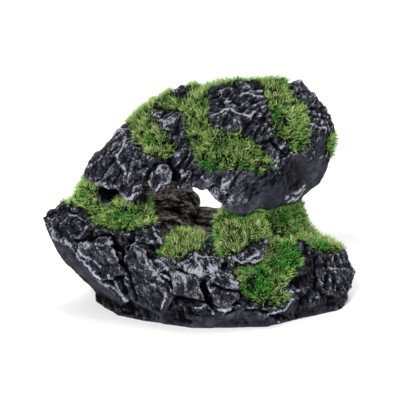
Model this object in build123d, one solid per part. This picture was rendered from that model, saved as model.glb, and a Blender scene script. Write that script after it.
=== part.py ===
from build123d import *
import os
from itertools import product
from math import cos, radians, sin

# Resin cave ornament for an aquarium: rock castings glued together, with flocked moss mats.
# Millimetres, +Z up, the open mouth of the cave faces -Y. Each casting is a heap of angular
# stones, and a stone is the convex solid of a few corner points.

# Driving dimensions
GLUE = 0.8           # thickness of an epoxy bed between two castings
PILE = 2.0           # height of a flocked moss mat over the rock
LEAN = radians(15)   # how far the plane that the mats are outlined on leans back
EYE_HEIGHT = 61      # height of the middle of that plane
REACH = 120          # distance from that plane's start to the middle of the ornament
FLOOR = 30           # height of the cave floor over the tank bottom


# Helpers

def stone(corners):
    """One angular stone: the convex solid of its corner points."""
    return ConvexPolyhedron(corners)


def grown(corners, by):
    """The same stone, thicker by the given amount along each axis."""
    steps = list(product((-by, by), repeat=3))
    return ConvexPolyhedron([(x + i, y + j, z + k) for x, y, z in corners for i, j, k in steps])


def heap(stones, by=0):
    """Stones fused into one rock, each grown by the given amount first."""
    return Part() + [grown(corners, by) if by else stone(corners) for corners in stones]


def largest(shape):
    """The biggest solid of a shape, without the crumbs that cutting leaves."""
    return max(shape.solids(), key=lambda solid: solid.volume)


def column(outline, depth, behind=False):
    """A straight column over an outline (across, up), as deep as depth past the middle.

    The outline lies on a plane that leans back, facing the front, or the rear if behind.
    """
    facing = 1 if behind else -1
    outward = Vector(0, facing * cos(LEAN), sin(LEAN))
    start = Vector(0, 0, EYE_HEIGHT) + outward * REACH
    plane = Plane(origin=start, x_dir=(-facing, 0, 0), z_dir=outward)
    return extrude(plane * make_face(Polyline(*outline, close=True)), amount=-(REACH + depth))


# Stones of each casting, as corner points (across, away from the front, up)

BASE_CORE = [
    (-60, 4, 0), (-45, -19, 0), (-30, -28, 0), (-8, -35, 0), (15, -35, 0), (39, -36, 0),
    (64, -20, 0), (83, -9, 0), (89, 14, 0), (84, 36, 0), (60, 52, 0), (12, 58, 0),
    (-34, 48, 0), (-55, 26, 0),
    (-38, -22, 28), (-10, -34, FLOOR), (25, -34, FLOOR), (55, -22, FLOOR), (84, 0, 22),
    (90, 14, 15), (86, 34, 20), (60, 50, 24), (10, 54, 20), (-40, 44, 22), (-62, 24, 26),
]
LEFT_PROW = [
    (-89, 4, 51), (-85, 10, 55), (-78, 18, 56), (-60, 26, 54), (-56, -10, 47), (-82, -2, 44),
    (-74, -8, 38), (-80, 0, 32), (-76, 2, 24), (-68, 2, 19), (-58, 5, 3), (-57, -18, 24),
    (-40, -26, 9), (-34, -24, 20), (-40, -16, 44), (-38, -8, 49), (-45, 30, 20), (-55, 34, 44),
]
LEFT_SLAB = [
    (-65, -16, 41), (-50, -23, 43), (-45, -25, 39), (-40, -29, 27), (-52, -24, 22),
    (-67, -16, 31), (-62, 0, 45), (-46, -8, 46), (-38, -14, 30), (-60, -4, 25),
]
CENTRE_SLAB = [
    (-34, -28, 44), (-40, -27, 37), (-29, -30, 39), (-26, -33, 31), (-18, -37, 22),
    (-12, -38, 17), (-17, -37, 11), (-20, -35, 5), (-35, -28, 10), (-40, -27, 21),
    (-34, -15, 44), (-15, -20, 20), (-38, -12, 20),
]
FLUTES = [
    (-32, -18, 45), (-22, -20, 43), (-12, -30, 36), (-8, -37, 30), (-12, -38, 19),
    (-22, -35, 22), (-29, -29, 34), (-20, -5, 38), (-5, -20, 26), (-30, -6, 30),
]
PEAK = [
    (-26, -18, 54), (-35, -18, 51), (-22, -22, 50), (-18, -26, 46), (-28, -26, 42),
    (-34, -25, 44), (-22, -12, 51), (-33, -6, 50), (-18, -14, 40), (-30, -10, 36),
]
BLOCK_A = [
    (-11, -40, 29), (-4, -41, 31), (0, -41, 31), (2, -42, 27), (6, -42, 16), (-3, -41, 17),
    (-12, -39, 20), (-11, -26, 31), (1, -26, 31), (3, -26, 16),
]
BLOCK_B = [
    (5, -43, 27), (9, -43, 31), (13, -43, 34), (18, -43, 32), (22, -42, 26), (24, -42, 18),
    (16, -43, 13), (9, -43, 15), (7, -26, 31), (20, -26, 32), (22, -26, 18), (8, -26, 14),
]
LOWER_LIP = [
    (-20, -32, 0), (-3, -39, 0), (15, -36, 0), (39, -37, 0), (44, -28, 0), (-22, -34, 8),
    (-8, -38, 13), (2, -41, 12), (20, -42, 12), (40, -39, 12), (50, -33, 12), (10, -25, 22),
    (40, -25, 22), (-12, -25, 20),
]
FRONT_BULGE = [
    (39, -22, 43), (54, -13, 41), (55, -21, 30), (50, -29, 25), (46, -35, 15), (42, -38, 11),
    (31, -40, 18), (25, -39, 23), (22, -37, 30), (23, -34, 33), (33, -30, 36), (30, -10, 30),
    (52, -5, 34), (50, -20, 8),
]
RIGHT_BLOCK = [
    (56, -12, 42), (69, -5, 34), (80, 4, 32), (85, 10, 29), (88, 12, 21), (91, 13, 14),
    (86, 2, 2), (83, -9, 0), (64, -20, 0), (58, -26, 15), (51, -32, 12), (44, -33, 6),
    (84, 34, 22), (62, 36, 34), (50, 10, 36), (88, 24, 24),
]
LEFT_SHOULDER = [
    (-64, 4, 70), (-62, 16, 74), (-57, -3, 66), (-50, -10, 63), (-44, -12, 62), (-36, -14, 60),
    (-29, -12, 60), (-24, -10, 54), (-26, -14, 50), (-38, -18, 46), (-52, -13, 46),
    (-60, -7, 46), (-76, 8, 54), (-60, 28, 76), (-44, 26, 76), (-42, 10, 68), (-28, 6, 60),
    (-62, 30, 40), (-32, 16, 36), (-30, -6, 36),
]
BACK_RIM = [
    (-62, 24, 40), (-45, 46, 30), (10, 56, 26), (56, 50, 28), (62, 36, 36), (10, 40, 38),
    (-40, 34, 44), (-50, 20, 24), (50, 28, 24), (-36, 48, 12), (12, 58, 8), (60, 51, 10),
]
BACK_SLAB_LEFT = [
    (-60, 28, 36), (-44, 44, 41), (-26, 51, 36), (-32, 55, 14), (-48, 46, 5), (-62, 30, 14),
    (-50, 24, 46), (-28, 38, 44), (-30, 36, 8),
]
BACK_SLAB_MIDDLE = [
    (-20, 54, 29), (4, 61, 23), (22, 61, 13), (18, 60, 3), (-14, 59, 5), (-28, 53, 14),
    (-10, 44, 38), (14, 46, 35), (0, 40, 8),
]
BACK_SLAB_RIGHT = [
    (28, 56, 25), (50, 53, 31), (67, 44, 26), (76, 40, 12), (60, 53, 3), (34, 58, 3),
    (36, 40, 39), (58, 34, 37), (50, 30, 8),
]
BASE = [
    BASE_CORE, LEFT_PROW, LEFT_SLAB, CENTRE_SLAB, FLUTES, PEAK, BLOCK_A, BLOCK_B, LOWER_LIP,
    FRONT_BULGE, RIGHT_BLOCK, LEFT_SHOULDER, BACK_RIM, BACK_SLAB_LEFT, BACK_SLAB_MIDDLE,
    BACK_SLAB_RIGHT,
]

BACK_WALL = [
    [(-34, 12, 64), (-34, 17, 77), (-24, 16, 79), (-12, 23, 78), (-6, 24, 62), (-3, 26, 59),
     (0, 25, 54), (-30, 3, 48), (-16, 5, 40), (-2, 10, 34), (-32, 6, 27), (0, 12, 27),
     (-38, 28, 74), (-26, 36, 76), (-13, 32, 77), (-6, 32, 58), (-44, 34, 52), (-30, 44, 40),
     (-4, 42, 40), (2, 40, 27)],
    [(-10, 8, 38), (4, 10, 36), (22, 12, 36), (1, 24, 50), (12, 26, 49), (26, 22, 45),
     (-8, 34, 50), (4, 36, 46), (26, 34, 41), (34, 30, 36), (30, 12, 27), (36, 34, 27),
     (-10, 10, 27), (-10, 44, 27), (14, 46, 34)],
]
SILL = [
    [(-14, -18, 47), (-8, -12, 48), (2, -12, 46), (11, -14, 46), (12, -28, 42), (14, -36, 38),
     (12, -40, 36), (6, -42, 34), (-1, -42, 34), (-8, -38, 36), (-15, -32, 37), (-18, -26, 39),
     (-12, -32, 27), (9, -33, 27), (9, -8, 27), (-12, -8, 27)],
]
PILLAR = [
    [(13, -18, 59), (18, -20, 61), (30, -20, 59), (35, -12, 60), (18, -4, 64), (34, -4, 62),
     (12, -31, 48), (16, -39, 44), (20, -42, 42), (27, -41, 43), (34, -37, 43), (37, -33, 46),
     (39, -22, 51), (12, -22, 53), (18, -31, 27), (33, -30, 27), (36, -8, 27), (17, -4, 27)],
]
REAR_PILLAR = [
    [(38, -5, 55), (45, -4, 60), (52, 5, 63), (53, 10, 61), (46, 22, 68), (53, 24, 67),
     (36, 18, 64), (58, 10, 44), (68, 12, 36), (66, 30, 36), (40, 30, 44), (42, -6, 40),
     (56, -4, 36), (42, -4, 27), (64, 4, 27), (64, 32, 27), (40, 30, 27)],
]

ARCH_FOOT = [
    (-64, 0, 76), (-61, 1, 83), (-52, 0, 91), (-43, 0, 102), (-58, 12, 68), (-55, -15, 75),
    (-50, -18, 76), (-45, -21, 74), (-36, -14, 94), (-46, -12, 86), (-26, -20, 92),
    (-30, -18, 74), (-20, 4, 108), (-60, 24, 70), (-47, 26, 88), (-36, 28, 102), (-20, 28, 74),
]
ARCH_LIP = [
    (-43, -23, 72), (-36, -26, 68), (-31, -27, 71), (-27, -25, 84), (-46, -18, 80),
    (-34, -12, 72), (-26, -10, 90),
]
ARCH_LUMP_LEFT = [
    (-25, -27, 75), (-20, -28, 74), (-15, -27, 75), (-14, -26, 85), (-20, -28, 87),
    (-25, -26, 83), (-25, -8, 78), (-14, -8, 78), (-16, -10, 92),
]
ARCH_LUMP_RIGHT = [
    (-11, -25, 76), (-7, -26, 73), (-4, -25, 76), (-3, -25, 84), (-8, -26, 86),
    (-11, -25, 84), (-11, -8, 78), (-3, -8, 78), (-6, -8, 90),
]
ARCH_SHOULDER = [
    (-38, 3, 105), (-33, 3, 110), (-21, 2, 114), (-14, 2, 123), (-8, 2, 126), (0, 3, 127),
    (-32, -12, 98), (-15, -20, 94), (-4, -22, 92), (0, -16, 112), (-34, 26, 104),
    (-12, 30, 118), (4, 28, 118), (-4, -12, 84), (-30, 20, 90),
]
ARCH_CROWN = [
    (-6, -22, 84), (2, -26, 97), (-5, -20, 76), (3, -20, 73), (8, -25, 77), (17, -31, 90),
    (18, -25, 108), (28, -18, 118), (18, -8, 124), (-2, -6, 121), (15, 2, 129),
    (31, 2, 130), (50, 4, 130), (44, -8, 124), (42, -26, 90), (54, -20, 92), (50, -14, 112),
    (0, 30, 116), (46, 32, 118), (50, 34, 92), (0, 32, 82),
]
ARCH_LOBE = [
    (4, -16, 74), (9, -20, 71), (14, -26, 66), (19, -28, 63), (26, -24, 59), (37, -12, 57),
    (46, -4, 58), (15, -32, 90), (38, -31, 90), (40, -27, 72), (55, -19, 94), (53, -3, 62),
    (60, 6, 60), (28, 8, 62), (12, 0, 72), (6, 14, 80), (56, 24, 66), (34, 24, 70),
]
ARCH_RIGHT = [
    (56, 6, 129), (60, 8, 125), (66, 8, 117), (73, 8, 112), (78, 8, 103), (76, 10, 89),
    (75, 10, 78), (70, 10, 68), (66, 10, 66), (59, 6, 61), (62, -6, 109), (68, -5, 98),
    (57, -19, 95), (52, -12, 77), (46, -13, 116), (60, 30, 118), (72, 30, 102), (70, 30, 78),
    (56, 28, 66), (40, 20, 80), (42, 12, 124),
]
ARCH_BROW = [
    (-28, -19, 75), (-4, -18, 77), (-4, -21, 94), (-26, -22, 93), (-28, -8, 78), (-4, -8, 78),
    (-26, -4, 98), (-4, -4, 98),
]
ARCH_BACK_LEFT = [
    (-50, 25, 84), (-32, 33, 98), (-16, 36, 94), (-8, 32, 77), (-26, 33, 74), (-46, 27, 73),
    (-32, 16, 104), (-12, 16, 104), (-14, 20, 78), (-44, 18, 78),
]
ARCH_BACK_MIDDLE = [
    (2, 35, 112), (24, 38, 118), (44, 38, 106), (48, 37, 88), (26, 41, 82), (4, 36, 88),
    (20, 22, 122), (42, 20, 120), (8, 20, 86), (44, 20, 84),
]
ARCH_BACK_RIGHT = [
    (52, 33, 110), (68, 33, 96), (67, 35, 77), (52, 37, 69), (40, 35, 78), (58, 20, 116),
    (70, 20, 76), (50, 18, 70), (44, 24, 90),
]
ARCH = [
    ARCH_FOOT, ARCH_LIP, ARCH_LUMP_LEFT, ARCH_LUMP_RIGHT, ARCH_BROW, ARCH_SHOULDER,
    ARCH_CROWN, ARCH_LOBE, ARCH_RIGHT, ARCH_BACK_LEFT, ARCH_BACK_MIDDLE, ARCH_BACK_RIGHT,
]

# Hollows

CAVE_CEILING = [
    (-44, -6, 60), (-44, 12, 60), (-30, -12, 60), (-30, 20, 60), (4, -8, 60), (6, 22, 60),
    (-30, -6, 88), (-28, 18, 88), (-8, -8, 108), (-6, 20, 108), (8, -12, 112), (10, 22, 112),
    (40, -12, 110), (44, 22, 110), (60, 2, 106), (60, 20, 106), (58, 0, 92), (60, 20, 90),
    (38, -12, 92), (38, 20, 92),
]
BACK_WINDOW = [
    (-4, 6, 50), (34, 14, 50), (-4, 45, 54), (32, 45, 54), (-2, 6, 76), (18, 6, 80),
    (-2, 45, 74), (28, 45, 72),
]
CAVE_ROOM = [
    (-26, -9, FLOOR), (-24, 4, FLOOR), (14, -6, FLOOR), (36, 8, FLOOR), (30, 10, FLOOR),
    (-30, -8, 66), (-28, 12, 66), (14, -2, 66), (36, 8, 66), (30, 26, 66), (-6, 26, 66),
]
UNDERSIDE = [
    (-44, 8, -1), (-30, -16, -1), (-4, -26, -1), (34, -27, -1), (60, -12, -1), (78, 0, -1),
    (80, 26, -1), (52, 42, -1), (8, 48, -1), (-34, 38, -1),
    (-36, 8, 22), (-26, -10, 22), (-4, -20, 22), (32, -20, 22), (56, -8, 22), (72, 4, 15),
    (72, 24, 15), (50, 36, 20), (8, 42, 20), (-28, 34, 20),
]


# Moss mats: outline (across, up), how deep it reaches, and whether it is drawn from behind

MATS = {
    "arch_moss_left": (ARCH, 8, False, [
        (-40, 46), (-33, 58), (-23, 62), (-18, 66), (-13, 64), (-11, 58), (-6, 55), (-6, 50),
        (-11, 49), (-17, 52), (-23, 53), (-26, 49), (-21, 43), (-16, 35), (-13, 29), (-14, 24),
        (-22, 24), (-29, 29), (-35, 37), (-37, 43)]),
    "arch_moss_centre": (ARCH, 14, False, [
        (-5, 72), (8, 77), (30, 78), (31, 67), (9, 65), (5, 62), (5, 40), (9, 37), (17, 37),
        (27, 33), (34, 27), (40, 20), (33, 15), (24, 18), (11, 17), (2, 21), (0, 27), (-5, 36),
        (-5, 48), (-4, 60)]),
    "arch_moss_right": (ARCH, 16, False, [
        (32, 76), (49, 76), (49, 59), (52, 55), (59, 51), (61, 45), (61, 36), (57, 27),
        (53, 27), (48, 33), (42, 38), (39, 50), (37, 62), (33, 67)]),
    "arch_moss_side": (ARCH, 30, False, [(74, 38), (90, 40), (90, 25), (75, 26), (73, 32)]),
    "shoulder_moss": (BASE, 22, False, [
        (-70, 18), (-58, 16), (-55, 8), (-53, 4), (-48, 2), (-44, 3), (-40, 4), (-28, 6),
        (-22, -5), (-21, -10), (-31, -14), (-38, -16), (-49, -13), (-56, -13), (-57, -8),
        (-63, -3), (-80, 0), (-76, 8)]),
    "sill_moss": (SILL, 20, False, [
        (-18, -8), (2, -8), (4, -21), (0, -27), (-8, -30), (-16, -30), (-24, -27), (-22, -18)]),
    "pillar_moss": (PILLAR, 20, False, [
        (4, 2), (40, 2), (46, -14), (42, -18), (34, -20), (27, -21), (21, -28), (14, -28),
        (6, -20), (4, -13)]),
    "rear_moss": (REAR_PILLAR + BASE, 40, False, [
        (36, 2), (60, 6), (68, -4), (76, -10), (86, -14), (94, -26), (80, -28), (70, -28),
        (63, -24), (56, -20), (46, -18), (41, -13)]),
    "front_moss": (BASE, 10, False, [
        (39, -20), (54, -20), (57, -35), (51, -42), (46, -47), (48, -54), (43, -57), (32, -53),
        (25, -48), (21, -40), (22, -35), (33, -32), (39, -25)]),
    "back_moss_upper": (ARCH, -6, True, [
        (-40, 58), (-26, 66), (-8, 62), (4, 48), (0, 36), (-14, 30), (-30, 34), (-42, 44)]),
    "back_moss_lower": (BASE, -6, True, [
        (18, -12), (44, -6), (62, -10), (58, -28), (40, -38), (22, -34), (12, -24)]),
}


# Castings and the epoxy beds between them

def castings_and_beds():
    """Rock castings, each seated in a bed of epoxy where it meets the ones under it."""
    nodes = {}
    base = heap(BASE) - stone(UNDERSIDE) - stone(CAVE_ROOM)
    arch = heap(ARCH) - stone(CAVE_CEILING) - stone(BACK_WINDOW)
    seated = {
        "back_wall_rock": (heap(BACK_WALL), heap(BACK_WALL, GLUE)),
        "sill_stone": (heap(SILL), heap(SILL, GLUE)),
        "pillar_stone": (heap(PILLAR), heap(PILLAR, GLUE)),
        "rear_pillar": (heap(REAR_PILLAR), heap(REAR_PILLAR, GLUE)),
    }
    for name, (rock, seat) in seated.items():
        for lower in set(nodes) & set(seated):
            nodes[lower] = nodes[lower] - seat
        nodes[name + "_bed"] = largest((seat & base) - rock)
        base = base - seat
        nodes[name] = rock
    arch_seat = heap(ARCH, GLUE) - stone(CAVE_CEILING)
    for name, bed in (("back_wall_rock", "arch_bed_back"), ("pillar_stone", "arch_bed_pillar"),
                      ("rear_pillar", "arch_bed_rear")):
        nodes[bed] = largest((arch_seat & nodes[name]) - arch)
        nodes[name] = largest(nodes[name] - arch_seat)
    nodes["arch_bed_left"] = largest((arch_seat & base) - arch)
    nodes["base_rock"] = largest(base - arch_seat)
    nodes["arch_rock"] = largest(arch)
    return nodes


def moss_mats(rocks):
    """Flocked mats over the rocks, each a skin between its rock and the grown rock."""
    nodes = {}
    for name, (stones, depth, behind, outline) in MATS.items():
        skin = heap(stones, PILE) - [heap(stones), stone(CAVE_CEILING), *rocks]
        mat = skin & column(outline, depth, behind)
        if nodes:
            mat = mat - list(nodes.values())
        nodes[name] = largest(mat)
    return nodes


def bottom_centre(shapes):
    """The middle of the underside of the box around all the shapes."""
    boxes = [shape.bounding_box() for shape in shapes]
    x = min(box.min.X for box in boxes) + max(box.max.X for box in boxes)
    y = min(box.min.Y for box in boxes) + max(box.max.Y for box in boxes)
    return Vector(x / 2, y / 2, min(box.min.Z for box in boxes))


def main():
    nodes = castings_and_beds()
    nodes.update(moss_mats(list(nodes.values())))
    to_origin = Location(-bottom_centre(nodes.values()))
    os.makedirs("parts", exist_ok=True)
    for name, shape in nodes.items():
        export_step(shape.moved(to_origin), "parts/" + name + ".step")


main()
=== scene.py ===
"""Resin cave ornament: detailed rock castings and flocked moss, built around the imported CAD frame."""
from itertools import product
from math import cos, radians, sin

import bpy
import numpy as np
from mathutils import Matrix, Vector
from mathutils.bvhtree import BVHTree


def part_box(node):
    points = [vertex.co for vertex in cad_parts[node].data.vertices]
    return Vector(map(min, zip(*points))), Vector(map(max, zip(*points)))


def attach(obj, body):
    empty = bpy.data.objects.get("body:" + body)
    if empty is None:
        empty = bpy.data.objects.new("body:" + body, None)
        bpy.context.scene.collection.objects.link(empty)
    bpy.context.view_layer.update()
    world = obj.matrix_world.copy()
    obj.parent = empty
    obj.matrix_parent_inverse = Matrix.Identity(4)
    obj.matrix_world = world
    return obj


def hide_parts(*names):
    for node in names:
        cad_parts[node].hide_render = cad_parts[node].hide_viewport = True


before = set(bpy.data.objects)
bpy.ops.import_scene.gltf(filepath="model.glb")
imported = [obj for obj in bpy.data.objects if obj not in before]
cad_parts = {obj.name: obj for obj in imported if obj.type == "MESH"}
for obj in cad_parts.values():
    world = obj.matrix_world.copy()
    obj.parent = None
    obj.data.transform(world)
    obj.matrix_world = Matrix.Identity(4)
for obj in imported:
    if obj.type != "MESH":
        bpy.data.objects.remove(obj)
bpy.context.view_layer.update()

MM = 0.001
BODY = "root"

# Places below are in millimetres from MIDDLE, a point on the tank bottom that is given in the
# frame by its distance from the left end and from the front of the base
LEFT_TO_MIDDLE, FRONT_TO_MIDDLE = 89, 43
BASE_LOW = np.array(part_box("base_rock")[0]) / MM
MIDDLE = np.array([BASE_LOW[0] + LEFT_TO_MIDDLE, BASE_LOW[1] + FRONT_TO_MIDDLE, 0.0])

# The leaning plane, which marks are drawn on, faces the viewer and passes over MIDDLE
VIEW_ELEVATION = radians(15)
VIEW_HEIGHT = 61
VIEW_UP = np.array([0, sin(VIEW_ELEVATION), cos(VIEW_ELEVATION)])
TO_VIEWER = np.array([0, -cos(VIEW_ELEVATION), sin(VIEW_ELEVATION)])


# ---------------------------------------------------------------- camera, floor and light

CAMERA_DISTANCE, CAMERA_LENS, CAMERA_SENSOR = 650, 103.9, 36
CAMERA_TARGET = MIDDLE + [1.75, 0, 61.9]

FLOOR_SIZE, FLOOR_WHITE, FLOOR_ROUGHNESS = 6, 0.95, 0.9
SKY_STRENGTH = 0.48
SUNS = {                # direction it is seen in, power, and width in degrees
    "key": ((-0.5, -1.0, 0.8), 3.1, 20),
    "top": ((0.25, 0.3, 1.0), 1.7, 40),
    "front": ((0.15, -1.0, 0.15), 0.9, 30),
}


def add_camera():
    """A long lens, a little above the ornament and square to its front."""
    data = bpy.data.cameras.new("camera")
    data.lens = CAMERA_LENS
    data.sensor_width = CAMERA_SENSOR
    camera = bpy.data.objects.new("camera", data)
    camera.location = Vector((CAMERA_TARGET + TO_VIEWER * CAMERA_DISTANCE) * MM)
    camera.rotation_euler = (radians(90) - VIEW_ELEVATION, 0, 0)
    bpy.context.scene.collection.objects.link(camera)
    bpy.context.scene.camera = camera


def add_sun(name, towards, power, spread):
    """A distant soft lamp."""
    data = bpy.data.lights.new(name, "SUN")
    data.energy = power
    data.angle = radians(spread)
    lamp = bpy.data.objects.new(name, data)
    lamp.rotation_euler = Vector(towards).to_track_quat("Z", "Y").to_euler()
    bpy.context.scene.collection.objects.link(lamp)


def add_floor_and_light():
    """A white floor and soft studio light from above and the front left."""
    bpy.ops.mesh.primitive_plane_add(size=FLOOR_SIZE)
    floor = bpy.context.object
    floor.name = "floor"
    floor.data.materials.append(plain_material("floor_white", FLOOR_WHITE, FLOOR_ROUGHNESS))
    world = bpy.data.worlds.new("studio")
    world.use_nodes = True
    sky = world.node_tree.nodes["Background"]
    sky.inputs["Color"].default_value = (1, 1, 1, 1)
    sky.inputs["Strength"].default_value = SKY_STRENGTH
    bpy.context.scene.world = world
    bpy.context.scene.view_settings.view_transform = "Standard"
    for name, (towards, power, spread) in SUNS.items():
        add_sun(name, towards, power, spread)


# ---------------------------------------------------------------- noise

GRADIENTS = np.random.default_rng(1).normal(size=(256, 3))
GRADIENTS /= np.linalg.norm(GRADIENTS, axis=1)[:, None]
SCATTER = np.random.default_rng(2).random((4096, 3))
LETTERS = np.array([73856093, 19349663, 83492791], np.int64)


def hashed(cell, seed):
    """A repeatable random whole number for each whole-number cell."""
    mixed = cell.astype(np.int64) * LETTERS
    number = mixed[:, 0] ^ mixed[:, 1] ^ mixed[:, 2] ^ (seed * 2654435761)
    number ^= number >> 13
    number = (number * 1274126177) & 0x7FFFFFFF
    return number ^ (number >> 15)


def noise(points, size, seed):
    """Smooth noise from about -1 to 1, with features of the given size."""
    scaled = points / size
    base = np.floor(scaled)
    part = scaled - base
    fade = part ** 3 * (part * (part * 6 - 15) + 10)
    total = np.zeros(len(points))
    for corner in product((0, 1), repeat=3):
        gradient = GRADIENTS[hashed(base + corner, seed) & 255]
        weight = np.where(corner, fade, 1 - fade).prod(axis=1)
        total += weight * ((part - corner) * gradient).sum(axis=1)
    return total * 1.7


def layered(points, size, layers, seed):
    """Noise of several sizes added up, each half the size and height of the one before."""
    return sum(0.5 ** i * noise(points, size / 2 ** i, seed + i) for i in range(layers))


def warped(points, size, by, seed):
    """The points moved about by smooth noise, so that patterns lose their regularity."""
    return points + by * np.stack([noise(points, size, seed + k) for k in (11, 12, 13)], axis=1)


def facets(points, size, seed):
    """Height of tilted facets of broken stone, from about -0.5 to 1, meeting in sharp valleys."""
    scaled = points / size
    base = np.floor(scaled)
    height = np.full(len(points), -9.0)
    for step in product((-1, 0, 1), repeat=3):
        number = hashed(base + step, seed)
        away = scaled - (base + step + SCATTER[number & 4095])
        slope = (away * GRADIENTS[(number >> 8) & 255]).sum(axis=1)
        rise = 0.5 * SCATTER[(number >> 4) & 4095, 0] + 0.9 * slope - (away ** 2).sum(axis=1)
        height = np.maximum(height, rise)
    return height


def step_up(value, low, high):
    """0 below low, 1 above high, and a smooth rise between."""
    t = ((value - low) / (high - low)).clip(0, 1)
    return t * t * (3 - 2 * t)


# ---------------------------------------------------------------- meshes as arrays

def remeshed(node, voxel):
    """A copy of a CAD node's mesh with an even fine grid of faces."""
    copy = bpy.data.objects.new("working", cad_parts[node].data.copy())
    bpy.context.scene.collection.objects.link(copy)
    modifier = copy.modifiers.new("remesh", "REMESH")
    modifier.mode = "VOXEL"
    modifier.voxel_size = voxel * MM
    mesh = bpy.data.meshes.new_from_object(copy.evaluated_get(bpy.context.evaluated_depsgraph_get()))
    bpy.data.objects.remove(copy)
    return mesh


def read_points(mesh):
    """The mesh's points, in millimetres from MIDDLE."""
    flat = np.empty(len(mesh.vertices) * 3)
    mesh.vertices.foreach_get("co", flat)
    return flat.reshape(-1, 3) / MM - MIDDLE


def write_points(mesh, points):
    """Moves the mesh's points."""
    mesh.vertices.foreach_set("co", ((points + MIDDLE) * MM).ravel())
    mesh.update()


def read_normals(mesh):
    """The mesh's point normals."""
    flat = np.empty(len(mesh.vertices) * 3)
    mesh.vertex_normals.foreach_get("vector", flat)
    return flat.reshape(-1, 3)


def unit(vectors):
    """Vectors scaled to length 1."""
    return vectors / np.linalg.norm(vectors, axis=1)[:, None].clip(1e-9)


def edge_list(mesh):
    """The two ends of each edge."""
    flat = np.empty(len(mesh.edges) * 2, np.int32)
    mesh.edges.foreach_get("vertices", flat)
    return flat.reshape(-1, 2).T


def smoothed(values, edges, rounds):
    """Values at the points, averaged with their neighbours' a number of times."""
    one, other = edges
    count = len(values)
    links = np.bincount(one, minlength=count) + np.bincount(other, minlength=count)
    columns = values.reshape(count, -1).T
    for _ in range(rounds):
        columns = [0.5 * c + 0.5 * (np.bincount(one, c[other], count)
                                    + np.bincount(other, c[one], count)) / links for c in columns]
    return np.stack(columns, axis=-1).reshape(values.shape)


def add_float(mesh, name, values):
    """Stores a number for each point, for the materials to read."""
    mesh.attributes.new(name, "FLOAT", "POINT").data.foreach_set("value", values.astype(np.float32))


def seen_from_front(points):
    """Where points lie on the leaning plane: across and up."""
    return np.stack([points[:, 0], (points - [0, 0, VIEW_HEIGHT]) @ VIEW_UP], axis=1)


def spot(places, across, up, radius):
    """1 around a place on the leaning plane, falling to 0 past the radius."""
    away = np.linalg.norm(places - [across, up], axis=1) / radius
    return np.exp(-away ** 4)


def distance_to_line(places, line):
    """How far each place on the leaning plane is from a broken line."""
    nearest = np.full(len(places), 1e9)
    for start, end in zip(np.array(line[:-1], float), np.array(line[1:], float)):
        run = end - start
        along = ((places - start) @ run / (run @ run)).clip(0, 1)
        nearest = np.minimum(nearest, np.linalg.norm(places - start - along[:, None] * run, axis=1))
    return nearest


# ---------------------------------------------------------------- rock castings

UNCARVED = {}        # where the points of each casting were before it was carved
FAR = 5.0            # distance from any mark, in millimetres, past which it has no effect

# Cracks and raised edges on the front, as lines on the leaning plane
BASE_CRACKS = [
    [(-38, -27), (-32, -21), (-18, -29), (-8, -37)],
    [(-44, -25), (-41, -28), (-40, -33), (-36, -46), (-35, -55)],
    [(-66, -22), (-57, -19), (-49, -19), (-43, -25), (-40, -31)],
    [(-17, -29), (-8, -37), (2, -40), (11, -36), (23, -33)],
    [(3.5, -38), (3.5, -46), (6, -56)],
    [(9, -45), (15, -47), (22, -48)],
    [(67, -32), (67, -42), (66, -52)],
    [(73, -32), (74, -40), (72, -49)],
    [(17, -61), (24, -59), (30, -60), (39, -61), (44, -63), (50, -59)],
]
BASE_RIDGES = [
    [(-33, -24), (-28, -30), (-25, -36), (-18, -44), (-11, -50)],
    [(-17, -47), (-17, -54), (-19, -58)],
    [(-25, -32), (-20, -38), (-14, -43)],
    [(-21, -31), (-15, -37), (-11, -41)],
    [(-72, -23), (-64, -32), (-56, -41), (-46, -49), (-39, -55)],
    [(-72, -22), (-59, -32), (-52, -36)],
    [(-48, -40), (-43, -49), (-38, -55)],
    [(-50, -21), (-46, -23), (-45, -29)],
    [(-26, -11), (-23, -18), (-19, -24)],
    [(12, -38), (16, -40), (22, -44)],
    [(-10, -41), (-6, -41), (-5, -47)],
    [(2, -57), (5, -56), (8, -60)],
    [(10, -57), (16, -59), (23, -57)],
    [(39, -62), (46, -59), (53, -54)],
    [(46, -52), (50, -50), (56, -49)],
    [(-73, -8), (-68, -8), (-64, -12)],
]
ARCH_CRACKS = [
    [(-14, 26), (-14, 18), (-12, 8)],
    [(4, 36), (8, 26), (4, 16)],
    [(22, 30), (40, 33), (48, 26)],
]
ARCH_RIDGES = [
    [(61, 43), (68, 41), (76, 42)],
    [(15, 54), (26, 58), (35, 57)],
    [(8, 45), (19, 49), (27, 46), (35, 50)],
    [(48, 2), (54, 5), (61, 10)],
    [(50, 0), (56, 3), (62, 7)],
    [(-40, 33), (-44, 25), (-38, 14)],
    [(-54, 9), (-48, 7), (-42, 3), (-37, 0.5), (-32, 5)],
    [(-9.5, 9), (-8.5, 5), (-6, 2.5), (-3.5, 5), (-2, 10)],
    [(-16, 14), (-20, 8), (-27, 4)],
]
SILL_RIDGES = [
    [(-6, -33), (0, -31), (7, -32), (12, -35)],
    [(-4, -36), (3, -37.5), (10, -36.5)],
    [(0, -31), (1, -36)],
    [(6, -32), (8, -37)],
]
PILLAR_RIDGES = [
    [(18, -29), (23, -31.5), (30, -30.5), (36, -28), (39, -23.5), (39, -19.5)],
    [(22, -28), (27, -29), (31, -27)],
]

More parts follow.
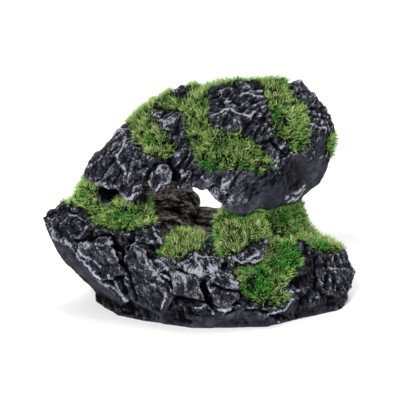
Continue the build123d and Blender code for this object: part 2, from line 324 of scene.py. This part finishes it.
# Places on the front with more pale paint where worn, and with less: across, up, radius, and how much
# pale paint is added. Some negative entries are painted shade.
BASE_ZONES = [
    # (-50, 6) paints black shade into the hole at the left
    (-50, 6, 5, -4.0), (-84, -6, 6, 0.6), (-56, -30, 9, 0.3), (-26, -40, 9, 0.4),
    (-22, -14, 6, 0.4), (79, -37, 6, 0.6), (16, -49, 7, 0.2), (60, -50, 12, -0.5),
    (64, -36, 8, -0.6), (-58, -50, 9, -0.4), (-10, -58, 8, -0.6),
]
ARCH_ZONES = [
    (-19, 44, 7, 0.8), (13, 6, 9, 0.7), (-40, 34, 7, 0.5), (-38, 8, 7, 0.3), (29, 62, 6, 0.5),
    # (-11.5, 13) paints a small spot of black shade on the arch
    (70, 44, 6, 0.6), (-8, 58, 6, -0.8), (-11.5, 13, 3, -4.0),
    # (38, 10) and (54, 16) darken the lobe as painted shade
    (45, 20, 5, 0.5), (-24, 15, 4, 0.4), (-6, 14, 4, 0.4), (38, 10, 10, -0.7), (54, 16, 8, -0.7),
]
SILL_ZONES = [(4, -34, 8, 0.7)]

# Faces that are flatter than the rest: across, up, radius
BASE_FLATS = [
    (-55, -33, 9), (-45, -44, 8), (-30, -37, 9), (-29, -52, 8), (13, -49, 6), (-3, -47, 5),
    (63, -37, 7),
]
ARCH_FLATS = [(-37, 24, 9), (-22, 20, 7)]

MARK_WIDTH = 0.9     # half the width of a crack or of the sharp crest of a ridge
CRACK_DEPTH = 1.8
CREST_HEIGHT = 0.7
SWELL_HEIGHT, SWELL_WIDTH = 0.5, 3      # the gentle rise that a crest stands on
GAP = 0.8            # how far off a ridge line counts where its paint is broken
FRONT_DEPTH = (-6, 2)                   # marks fade out over this far behind the front

# Rise, size and seed of the chipped facets, from coarse to fine
CHIPS = ((2.6, 11, 1), (-2.4, 8, 2), (1.3, 4.2, 5), (-1.0, 3.1, 6))
CHIP_MIDDLE = 0.2    # average height of the facets
FLATTENED = 0.55     # how much of their relief the flat faces lose
DRAWN_OUT = 0.35     # how much of the length along the grain is squeezed out of the pattern

OVERHANG = (-0.4, 0.0)       # the surface gets rough as its upward tilt goes from one to the other
LEAST_ROUGH = 0.25           # how rough it is on the overhangs
RIM = (0.2, 4)               # the carving fades in over these heights above the tank bottom
FOOT_SHADE = (2, 14)          # and over these the painted shade on the foot gives way to the pale paint
UNDERSIDE = 0.3              # points lower than this before the carving stay on the bottom
RELIEF_SHARE = 0.6
ZONE_PAINT_AND_SHADE = 1.7


def carved(points, normals, cracks, ridges, zones, seed):
    """Marks on the faces turned to the viewer.

    Gives the height and the extra paint and painted shade they add, and how far each point is from a
    ridge line and from a crack, at most FAR.
    """
    places = seen_from_front(warped(warped(points, 9, 1.8, seed), 3, 0.7, seed + 1))
    front = step_up(normals @ TO_VIEWER, 0.0, 0.35) * step_up(-points[:, 1], *FRONT_DEPTH)
    gaps = GAP - GAP * step_up(layered(points, 5, 2, seed + 30), -0.5, 0.0)
    height = np.zeros(len(points))
    paint = np.zeros(len(points))
    nearest = {"line": np.full(len(points), FAR), "crack": np.full(len(points), FAR)}
    for line in cracks:
        away = distance_to_line(places, line)
        height -= CRACK_DEPTH * np.exp(-(away / MARK_WIDTH) ** 2)
        nearest["crack"] = np.minimum(nearest["crack"], away)
    for line in ridges:
        away = distance_to_line(places, line)
        height += (CREST_HEIGHT * np.exp(-(away / MARK_WIDTH) ** 2)
                   + SWELL_HEIGHT * np.exp(-(away / SWELL_WIDTH) ** 2))
        nearest["line"] = np.minimum(nearest["line"], away + gaps)
    # positive zones add pale paint; negative ones take it off, the strongest down to painted black
    # shade
    for across, up, radius, amount in zones:
        paint += amount * spot(places, across, up, radius)
    for kind in nearest:
        nearest[kind] = FAR + (nearest[kind] - FAR) * (front > 0.3)
    return height * front, paint * front, nearest["line"], nearest["crack"]


def standing_out(points, normals, edges, rounds):
    """How far each point stands out from the surface around it, against the usual distance."""
    out = ((points - smoothed(points, edges, rounds)) * normals).sum(axis=1)
    return RELIEF_SHARE * out / out.std()


def rock(node, voxel, seed, size, cracks=(), ridges=(), zones=(), flats=(), grain=(0, 0, 0),
         smooth_under=False, flat=False):
    """A craggy casting in place of a CAD node: chipped, pitted and cracked, with its paint's wear and
    painted shade.

    size scales the features and grain is the direction they are drawn out along. flats are faces
    with less relief. smooth_under leaves the overhanging faces smoother, and flat keeps the
    underside in one plane.
    """
    mesh = remeshed(node, voxel * (1))
    edges = edge_list(mesh)
    start = read_points(mesh)
    points = smoothed(start, edges, 3)
    write_points(mesh, points)
    normals = unit(smoothed(read_normals(mesh), edges, 6))

    places = seen_from_front(points)
    rough = np.ones(len(points))
    if smooth_under:
        craggy = step_up(normals[:, 2] + 0.25 * noise(points, 15, seed + 3), *OVERHANG)
        for across, up, radius, amount in zones:
            craggy = np.maximum(craggy, (amount > 0) * spot(places, across, up, radius))
        rough = LEAST_ROUGH + (1 - LEAST_ROUGH) * craggy
    grain = np.array(grain, float)
    drawn = points - (points @ grain)[:, None] * grain * DRAWN_OUT
    twisted = warped(warped(drawn, 14, 2.5, seed), 4, 0.8, seed + 20)
    depth = rough * size
    for across, up, radius in flats:
        depth = depth * (1 - FLATTENED * spot(places, across, up, radius))
    height = layered(points, 26, 2, seed + 4)
    for rise, width, offset in CHIPS:
        height += depth * rise * (facets(twisted, width * size, seed + offset) - CHIP_MIDDLE)
    height += rough * 0.4 * layered(twisted, 2.6, 2, seed + 7)
    height += rough * 0.2 * (facets(twisted, 2.0, seed + 9) - CHIP_MIDDLE)
    height += 0.10 * noise(points, 1.6, seed + 8)
    mark_height, mark_paint_and_shade, line, crack = carved(points, normals, cracks, ridges, zones, seed)
    height += mark_height

    move = normals * height[:, None]
    if flat:
        move[:, 2] *= step_up(points[:, 2], *RIM)
    points = points + move
    if flat:
        points[:, 2] = np.where(start[:, 2] < UNDERSIDE, 0, points[:, 2].clip(0))
    write_points(mesh, points)

    normals = read_normals(mesh)
    fine = standing_out(points, normals, edges, 2)
    broad = standing_out(points, normals, edges, 14)
    whole = standing_out(points, normals, edges, 60)
    relief = fine + broad.clip(-2, 0.9)
    # the largest scale adds painted shade in the valleys between big lumps, and a little dusting on the
    # lumps
    relief += whole.clip(-1.5, 0.5)
    relief = relief * (0.3 + 0.7 * rough) + ZONE_PAINT_AND_SHADE * mark_paint_and_shade
    # the foot of the base is painted darker, as painted shade under its lip
    if flat:
        relief -= 1.0 - step_up(points[:, 2], *FOOT_SHADE)
    # relief: pale dusting where high, black wash and painted shade where low
    add_float(mesh, "relief", relief)
    add_float(mesh, "line", line)
    add_float(mesh, "crack", crack)
    add_float(mesh, "rough", rough)
    mesh.shade_smooth()
    piece = bpy.data.objects.new(node + "_casting", mesh)
    bpy.context.scene.collection.objects.link(piece)
    UNCARVED[piece.name] = start
    return piece


# ---------------------------------------------------------------- materials

def plain_material(name, grey, roughness):
    """A bare grey or white surface for the floor."""
    material = bpy.data.materials.new(name)
    material.use_nodes = True
    shader = material.node_tree.nodes["Principled BSDF"]
    shader.inputs["Base Color"].default_value = (grey, grey, grey, 1)
    shader.inputs["Roughness"].default_value = roughness
    return material


# near-black for the resin's dark wash and for painted shade in pits, creases, cracks and hollows
BLACK_WASH_AND_SHADE = (0.001, 0.001, 0.0025)
SPECULAR = "Specular IOR Level"


GRAIN_MM, SPECK_MM, MOTTLE_MM, CREASE_MM = 1.3, 0.7, 7.0, 3.2
ROCK_BUMP_MM, SMEAR_MM, SMEAR_BUMP_MM = 4.0, 2.5, 0.6
ROCK_SPECULAR, MOSS_SPECULAR = 0.05, 0.15
EPOXY_ROUGHNESS, MOSS_ROUGHNESS = 0.6, 0.65

# Paint of each resin: the dark and middle tones of its body, its dusting and its worn edges
CHARCOAL = ((0.024, 0.024, 0.034), (0.060, 0.061, 0.083), (0.16, 0.163, 0.205), (0.66, 0.68, 0.79))
# the brown's middle, dusting and edge tones are far paler than the resin, as painted light on the back
# wall inside the shaded cave
BROWN_WITH_PAINTED_LIGHT = ((0.03, 0.027, 0.024), (0.38, 0.34, 0.30), (1.0, 0.88, 0.77), (1.0, 0.94, 0.86))
EPOXY = ((0.008, 0.008, 0.011), (0.035, 0.035, 0.042))


class Nodes:
    """Short ways to add and join the nodes of one material."""

    def __init__(self, name, stretch=(1, 1, 1)):
        self.stretch = stretch
        self.material = bpy.data.materials.new(name)
        self.material.use_nodes = True
        self.tree = self.material.node_tree
        self.shader = self.tree.nodes["Principled BSDF"]

    def add(self, kind, inputs=(), **settings):
        node = self.tree.nodes.new(kind)
        for key, value in settings.items():
            setattr(node, key, value)
        for key, value in dict(inputs).items():
            if isinstance(value, bpy.types.NodeSocket):
                self.tree.links.new(value, node.inputs[key])
            else:
                node.inputs[key].default_value = value
        return node

    def number(self, name):
        return self.add("ShaderNodeAttribute", attribute_name=name).outputs["Fac"]

    def place(self):
        place = self.add("ShaderNodeTexCoord").outputs["Object"]
        return self.add("ShaderNodeVectorMath", {0: place, 1: self.stretch},
                        operation="MULTIPLY").outputs["Vector"]

    def noise(self, size_mm, detail=3.0, rough=0.6, distortion=0.0):
        return self.add("ShaderNodeTexNoise", {
            "Vector": self.place(), "Scale": 1000 / size_mm, "Detail": detail,
            "Roughness": rough, "Distortion": distortion}).outputs["Fac"]

    def math(self, operation, one, other=0.0):
        return self.add("ShaderNodeMath", {0: one, 1: other}, operation=operation).outputs[0]

    def ramp(self, value, low, high, to_low=0.0, to_high=1.0):
        return self.add("ShaderNodeMapRange", {
            "Value": value, "From Min": low, "From Max": high, "To Min": to_low,
            "To Max": to_high}, interpolation_type="SMOOTHSTEP").outputs["Result"]

    def mix(self, amount, one, other):
        node = self.add("ShaderNodeMix", {"Factor": amount}, data_type="RGBA")
        for socket, value in (("A", one), ("B", other)):
            target = [s for s in node.inputs if s.name == socket and s.type == "RGBA"][0]
            if isinstance(value, bpy.types.NodeSocket):
                self.tree.links.new(value, target)
            else:
                target.default_value = (*value, 1)
        return [s for s in node.outputs if s.type == "RGBA"][0]

    def bump(self, height, depth_mm):
        node = self.add("ShaderNodeBump", {
            "Height": height, "Distance": depth_mm * MM, "Strength": 1.0})
        self.tree.links.new(node.outputs["Normal"], self.shader.inputs["Normal"])

    def finish(self, colour, roughness):
        self.tree.links.new(colour, self.shader.inputs["Base Color"])
        if isinstance(roughness, bpy.types.NodeSocket):
            self.tree.links.new(roughness, self.shader.inputs["Roughness"])
        else:
            self.shader.inputs["Roughness"].default_value = roughness
        return self.material


def rock_material(name, paint, stretch=(1, 1, 1)):
    """Dyed resin: black wash and painted shade in the pits, creases, cracks and hollows, mottled body,
    grey dusting, and pale worn edges.

    stretch is how much the pattern is squeezed along each axis.
    """
    dark, middle, dusted, bright = paint
    n = Nodes(name, stretch)
    relief = n.number("relief")
    rough = n.number("rough")
    grain = n.noise(GRAIN_MM, 6.0, 0.75)
    speck = n.noise(SPECK_MM, 2.0, 0.6)
    mottle = n.noise(MOTTLE_MM, 3.0, 0.6)
    crease = n.math("ABSOLUTE", n.math("SUBTRACT", n.noise(CREASE_MM, 4.0, 0.7, 0.6), 0.5))
    body = n.mix(n.ramp(mottle, 0.38, 0.66), dark, middle)
    body = n.mix(n.math("MULTIPLY", n.ramp(speck, 0.45, 0.7), 0.5), body, middle)
    chance = n.math("ADD", n.math("MULTIPLY", n.math("SUBTRACT", grain, 0.5), 8.0),
                    n.math("MULTIPLY", n.math("SUBTRACT", speck, 0.5), 7.0))
    stray = n.math("MULTIPLY", chance, n.math("ADD", n.math("MULTIPLY", rough, 0.8), 0.2))
    brush = n.math("ADD", relief, stray)
    brush = n.math("ADD", brush, n.math("MULTIPLY", n.math("SUBTRACT", mottle, 0.5), 4.0))
    body = n.mix(n.math("MULTIPLY", n.ramp(brush, 0.0, 2.4), 0.9), body, dusted)
    # pits and creases of the bump go near-black: dark wash and painted shade
    body = n.mix(n.math("MULTIPLY", n.ramp(grain, 0.49, 0.37), rough), body, BLACK_WASH_AND_SHADE)
    body = n.mix(n.math("MULTIPLY", n.ramp(crease, 0.03, 0.0), rough), body, BLACK_WASH_AND_SHADE)
    # low relief goes near-black: dark wash and painted shade in hollows, the spots painted black, the
    # foot and under the mats
    body = n.mix(n.math("MULTIPLY", n.ramp(relief, -0.4, -1.7), 0.97), body, BLACK_WASH_AND_SHADE)
    stray = n.math("MULTIPLY", chance, -0.25)
    # cracks go near-black: dark wash and painted shade in them
    body = n.mix(n.ramp(n.math("ADD", n.number("crack"), stray), 0.9, 0.3), body, BLACK_WASH_AND_SHADE)
    edge = n.ramp(n.math("ADD", n.number("line"), stray), 0.75, 0.3)
    worn = n.math("MAXIMUM", n.ramp(brush, 2.0, 3.3), edge)
    colour = n.mix(worn, body, bright)
    height = n.math("ADD", grain, n.math("MULTIPLY", n.ramp(crease, 0.0, 0.12), 0.35))
    n.bump(n.math("MULTIPLY", height, n.math("ADD", rough, 0.1)), ROCK_BUMP_MM)
    n.shader.inputs[SPECULAR].default_value = ROCK_SPECULAR
    return n.finish(colour, n.ramp(grain, 0.35, 0.65, 0.75, 0.55))


def epoxy_material():
    """Dark filled putty, smeared and slightly glossy."""
    n = Nodes("epoxy")
    smear = n.noise(SMEAR_MM, 4.0, 0.6)
    n.bump(smear, SMEAR_BUMP_MM)
    colour = n.mix(n.ramp(smear, 0.4, 0.65), *EPOXY)
    return n.finish(colour, EPOXY_ROUGHNESS)


def moss_material():
    """Nylon flock: roots darkened as painted shade inside the mat, and tips from deep green over
    yellow-green to straw, the palest partly painted highlight on fibres facing up.
    """
    n = Nodes("moss")
    along = n.number("along")
    tint = n.number("tint")
    tone = n.number("tone")
    # the root colour is painted shade deep among the fibres; tint also mixes some of it into the tips
    # at random
    root = n.mix(tint, (0.005, 0.010, 0.003), (0.025, 0.035, 0.010))
    tip = n.mix(n.ramp(tone, 0.0, 0.4), (0.05, 0.42, 0.04), (0.32, 0.60, 0.15))
    tip = n.mix(n.ramp(tone, 0.35, 0.75), tip, (0.78, 0.92, 0.28))
    # the palest straw is partly painted highlight on fibres facing up
    tip = n.mix(n.ramp(tone, 0.75, 1.0), tip, (1.0, 1.0, 0.66))
    tip = n.mix(n.ramp(tint, 0.0, 1.0, 0.6, 0.0), tip, root)
    # each fibre darkens from tip to root, as painted shade inside the mat
    colour = n.mix(n.ramp(along, -0.1, 0.85), root, tip)
    n.shader.inputs[SPECULAR].default_value = MOSS_SPECULAR
    return n.finish(colour, MOSS_ROUGHNESS)


# ---------------------------------------------------------------- moss

# No moss in front of the hole at the left, nor on the bare patches between the arch's mats, each
# given as across, up, radius
BARE = [(-51, 5, 6.5), (-9, 60, 5), (-18, 44, 5)]
LUSH = {"shoulder_moss": 0.45, "front_moss": 0.1}   # mats that are brighter than the rest

MARGIN = 2.5                 # how far from a CAD mat its ragged border can reach at most
BORDER, RAGGEDNESS = 0.3, 0.6           # how far it reaches on average, and the spread
FIBRES = 4.2                 # fibres for each square millimetre
FIBRE_LENGTH = 3.4
CLUMP = 5                    # across a clump of fibres that lean the same way
FIBRE_WIDTH = (0.17, 0.3)    # least and most
ROOT_DEPTH = 0.3             # how far the roots sink into the rock
BLADE_STEPS = (0.0, 0.38, 0.72, 1.0)    # places along a fibre
BLADE_WIDTHS = (1.0, 0.9, 0.6)          # width at each of them but the tip
TONES = 12                   # how many shades, from deep green to a pale straw that is partly painted highlight
TINTS = 6                    # and how many strengths of each
SHADE_UNDER_MOSS = 1.5             # how much darker the rock under the mats is painted, as painted shade under the fibres
FIRST_SEED, SEED_STEP = 1000, 10


def triangles(mesh):
    """Corner numbers of the mesh's triangles."""
    mesh.calc_loop_triangles()
    flat = np.empty(len(mesh.loop_triangles) * 3, np.int32)
    mesh.loop_triangles.foreach_get("vertices", flat)
    return flat.reshape(-1, 3)


class Skin:
    """The triangles of all the castings together."""

    def __init__(self, rocks):
        self.rocks = list(rocks)
        points, uncarved, facing, found, first = [], [], [], [], 0
        for piece in self.rocks:
            mesh = piece.data
            points.append(read_points(mesh))
            uncarved.append(UNCARVED[piece.name])
            facing.append(unit(smoothed(read_normals(mesh), edge_list(mesh), 8)))
            found.append(triangles(mesh) + first)
            first += len(mesh.vertices)
        self.found = np.concatenate(found)
        self.corners = np.concatenate(points)[self.found]
        self.plain = np.concatenate(uncarved)[self.found].mean(axis=1)
        self.facing = np.concatenate(facing)[self.found].mean(axis=1)
        crossed = np.cross(self.corners[:, 1] - self.corners[:, 0],
                           self.corners[:, 2] - self.corners[:, 0])
        self.areas = np.linalg.norm(crossed, axis=1) / 2
        self.covered = np.zeros(first, bool)

    def paint_shade_under_mats(self):
        """Takes the pale paint off the rock under the mats and paints it near-black, as painted shade
        under the fibres.
        """
        first = 0
        for piece in self.rocks:
            data = piece.data.attributes["relief"].data
            relief = np.empty(len(data), np.float32)
            data.foreach_get("value", relief)
            under = self.covered[first:first + len(data)]
            relief[under] = np.minimum(relief[under], 0) - SHADE_UNDER_MOSS
            data.foreach_set("value", relief)
            first += len(data)


def under_mat(node, centres, seed):
    """Which places on the uncarved rock lie under a CAD moss mat, give or take a ragged border."""
    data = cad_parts[node].data
    verts = [tuple(p) for p in read_points(data)]
    tree = BVHTree.FromPolygons(verts, [tuple(t) for t in triangles(data)])
    low, high = np.min(verts, axis=0) - MARGIN, np.max(verts, axis=0) + MARGIN
    chosen = np.zeros(len(centres), bool)
    candidates = np.flatnonzero(((centres > low) & (centres < high)).all(axis=1))
    reach = BORDER + layered(centres[candidates], 4, 3, seed)
    reach += RAGGEDNESS * np.random.default_rng(seed).normal(size=len(candidates))
    for across, up, radius in BARE:
        away = seen_from_front(centres[candidates]) - [across, up]
        reach[np.linalg.norm(away, axis=1) < radius] = 0
    for index, limit in zip(candidates, reach):
        if limit > 0:
            chosen[index] = tree.find_nearest(centres[index], limit)[0] is not None
    return chosen


def moss(node, skin, seed, lush):
    """A flocked mat: thousands of bent, tapered fibres rooted on the rock under a CAD mat.

    lush is how much brighter than the other mats it is.
    """
    rng = np.random.default_rng(seed)
    chosen = np.flatnonzero(under_mat(node, skin.plain, seed))
    skin.covered[skin.found[chosen]] = True
    weights = skin.areas[chosen]
    count = int(weights.sum() * FIBRES * (1))
    picks = chosen[rng.choice(len(chosen), count, p=weights / weights.sum())]
    blend = rng.dirichlet((1, 1, 1), count)
    roots = (skin.corners[picks] * blend[:, :, None]).sum(axis=1)
    normals = skin.facing[picks]

    # fibres stand up, leaning and curling together in clumps
    clump = np.stack([noise(roots, CLUMP, seed + k) for k in range(3)], axis=1)
    lean = unit(normals + 0.3 * clump + 0.55 * rng.normal(size=(count, 3)) + [0, 0, 0.2])
    lean = unit(lean + normals * (0.3 - (lean * normals).sum(axis=1)).clip(0)[:, None])
    curl = 0.5 * rng.normal(size=(count, 3)) + 0.3 * clump + [0, 0, 0.1]
    tall = FIBRE_LENGTH * rng.uniform(0.5, 1.35, count) * (1 + 0.2 * noise(roots, 9, seed + 5))
    side = unit(np.cross(lean, rng.normal(size=(count, 3))))
    half = 0.5 * rng.uniform(*FIBRE_WIDTH, count)

    rows = []
    for step in BLADE_STEPS:
        centre = roots + (lean * step + curl * step ** 2 * 0.35) * tall[:, None]
        centre -= normals * ROOT_DEPTH * (step == 0)
        rows.append(centre)
    points = []
    for row, width in zip(rows, BLADE_WIDTHS):
        points += [row - side * (half * width)[:, None], row + side * (half * width)[:, None]]
    points.append(rows[-1])
    per_blade = len(points)
    points = np.stack(points, axis=1).reshape(-1, 3)
    pattern = [(0, 1, 3, 2), (2, 3, 5, 4), (4, 5, 6)]
    faces = []
    for blade in range(count):
        first = blade * per_blade
        faces += [tuple(first + k for k in face) for face in pattern]
    mesh = bpy.data.meshes.new(node + "_flock")
    mesh.from_pydata(((points + MIDDLE) * MM).tolist(), [], faces)

    # fibres facing up get paler tones, as painted light on the top, and those down the sides deeper
    # green, as painted shade; they are also green in patches
    # the upward tilt under each fibre gives the painted light; the random spread is the fibres' own
    # tone
    tone = 0.36 + 0.22 * normals[:, 2].clip(-0.5, 1) + 0.24 * rng.normal(size=count)
    tone -= 0.45 * step_up(layered(roots, 13, 2, 77), 0.15, 0.6)
    tone = np.floor(tone.clip(0, 0.999) * TONES) / (TONES - 1)
    tint = np.floor((rng.random(count) + lush).clip(0, 0.999) * TINTS) / (TINTS - 1)
    along = np.repeat(BLADE_STEPS, (2, 2, 2, 1))
    add_float(mesh, "along", np.tile(along, count))
    add_float(mesh, "tone", np.repeat(tone, per_blade))
    add_float(mesh, "tint", np.repeat(tint, per_blade))
    unwrap_blades(mesh, tone, tint, along, pattern)
    mesh.shade_smooth()
    piece = bpy.data.objects.new(node + "_flock", mesh)
    bpy.context.scene.collection.objects.link(piece)
    return piece


def unwrap_blades(mesh, tone, tint, along, pattern):
    """Lays all fibres of one tone and tint over one another on the texture."""
    corners = np.array([k for face in pattern for k in face])
    across = (corners % 2 + 0.5 * (corners == len(along) - 1)) * 0.7 + 0.15
    up = along[corners] * 0.8 + 0.1
    u = (np.round(tone * (TONES - 1))[:, None] + across) / TONES
    v = (np.round(tint * (TINTS - 1))[:, None] + up) / TINTS
    layer = mesh.uv_layers.new(name="OFBake")
    layer.data.foreach_set("uv", np.stack([u, v], axis=-1).astype(np.float32).ravel())


# ---------------------------------------------------------------- the ornament

# Each casting: the size of its mesh faces, its seed, and its marks and texture
ROCKS = {
    "base_rock": dict(voxel=0.85, seed=100, size=0.85, cracks=BASE_CRACKS, ridges=BASE_RIDGES,
                      zones=BASE_ZONES, flats=BASE_FLATS, grain=(0.62, 0, -0.78),
                      smooth_under=True, flat=True),
    "arch_rock": dict(voxel=0.8, seed=200, size=0.65, cracks=ARCH_CRACKS, ridges=ARCH_RIDGES,
                      zones=ARCH_ZONES, flats=ARCH_FLATS, grain=(0.5, 0, 0.87),
                      smooth_under=True),
    "back_wall_rock": dict(voxel=0.7, seed=300, size=1.25, grain=(1.5, 0, -0.3)),
    "sill_stone": dict(voxel=0.5, seed=400, size=0.55, ridges=SILL_RIDGES, zones=SILL_ZONES),
    "pillar_stone": dict(voxel=0.5, seed=500, size=0.55, ridges=PILLAR_RIDGES),
    "rear_pillar": dict(voxel=0.6, seed=600, size=0.7),
}


def place(piece, node, slot, material):
    """Rides a piece on the body, in place of its CAD node, with its finish."""
    piece.data.materials.clear()
    piece.data.materials.append(material)
    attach(piece, BODY)
    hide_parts(node)


def build():
    """All pieces: castings, epoxy beds and moss mats."""
    charcoal = rock_material("charcoal_resin", CHARCOAL)
    # the back wall's brown carries painted light
    brown_painted_light = rock_material("brown_resin", BROWN_WITH_PAINTED_LIGHT, stretch=(0.4, 1, 1.3))
    rocks = {node: rock(node, **look) for node, look in ROCKS.items()}
    for node, piece in rocks.items():
        if node == "back_wall_rock":
            place(piece, node, "brown_resin", brown_painted_light)
        else:
            place(piece, node, "charcoal_resin", charcoal)
    epoxy = epoxy_material()
    for node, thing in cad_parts.items():
        if "bed" in node:
            thing.data.materials.clear()
            thing.data.materials.append(epoxy)
    green = moss_material()
    skin = Skin(rocks.values())
    mats = sorted(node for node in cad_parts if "moss" in node)
    for number, node in enumerate(mats):
        piece = moss(node, skin, FIRST_SEED + SEED_STEP * number, LUSH.get(node, 0))
        place(piece, node, "moss", green)
    skin.paint_shade_under_mats()


add_camera()
add_floor_and_light()
build()
